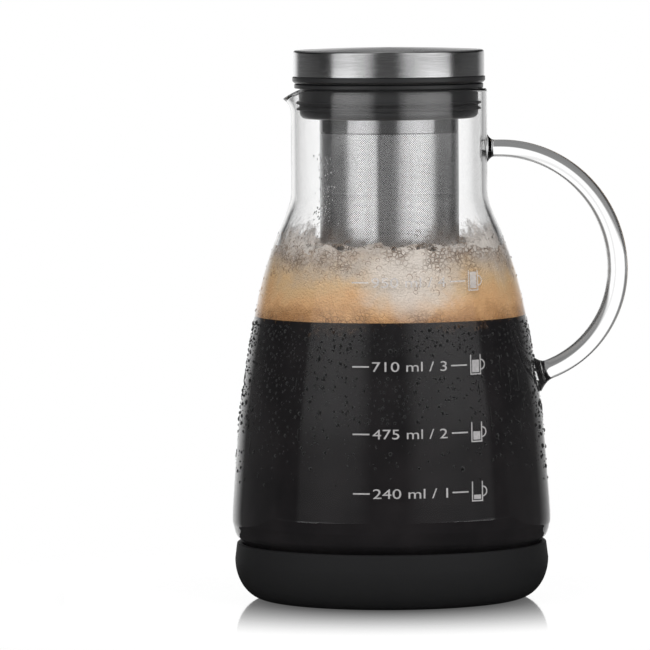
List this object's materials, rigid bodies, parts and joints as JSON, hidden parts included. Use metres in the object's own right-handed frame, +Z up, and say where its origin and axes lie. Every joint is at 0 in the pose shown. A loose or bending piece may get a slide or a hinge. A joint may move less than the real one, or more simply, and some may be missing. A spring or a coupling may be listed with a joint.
{
  "type": "cold brew coffee maker",
  "caption": "Glass jug with a rod handle and pouring lip in a soft silicone boot, with a lift-out cylindrical mesh filter and a brushed steel lid.",
  "frame": {"origin": "centre of the boot's flat bottom, on the jug's axis", "axes": "+Z up along the jug's axis, +X towards the handle, -X towards the pouring lip"},
  "size_m": [0.1539, 0.1234, 0.2133],
  "materials": {
    "boot_silicone": "matte moulded silicone",
    "seal_silicone": "satin moulded silicone",
    "black_plastic": "satin moulded plastic",
    "clear_glass": "clear blown borosilicate glass",
    "brushed_steel": "brushed stainless steel",
    "pressed_steel": "satin pressed stainless steel",
    "mesh_steel": "fine perforated stainless steel mesh"
  },
  "bodies": {
    "boot": {"base_boot": "boot_silicone"},
    "carafe": {"carafe_glass": "clear_glass", "carafe_handle": "clear_glass"},
    "filter": {"filter_collar": "black_plastic", "filter_collar_seal": "seal_silicone", "filter_sleeve": "pressed_steel", "filter_mesh": "mesh_steel", "filter_bottom_cup": "pressed_steel"},
    "lid": {"lid_cap": "brushed_steel", "lid_core": "black_plastic", "lid_plug_seal": "seal_silicone"}
  },
  "joints": [
    {"name": "carafe_lift", "type": "slide", "parent": "boot", "child": "carafe", "axis": [0, 0, 1], "range_m": [0, 0.03]},
    {"name": "filter_lift", "type": "slide", "parent": "carafe", "child": "filter", "axis": [0, 0, 1], "range_m": [0, 0.155]},
    {"name": "lid_lift", "type": "slide", "parent": "filter", "child": "lid", "axis": [0, 0, 1], "range_m": [0, 0.03]}
  ]
}
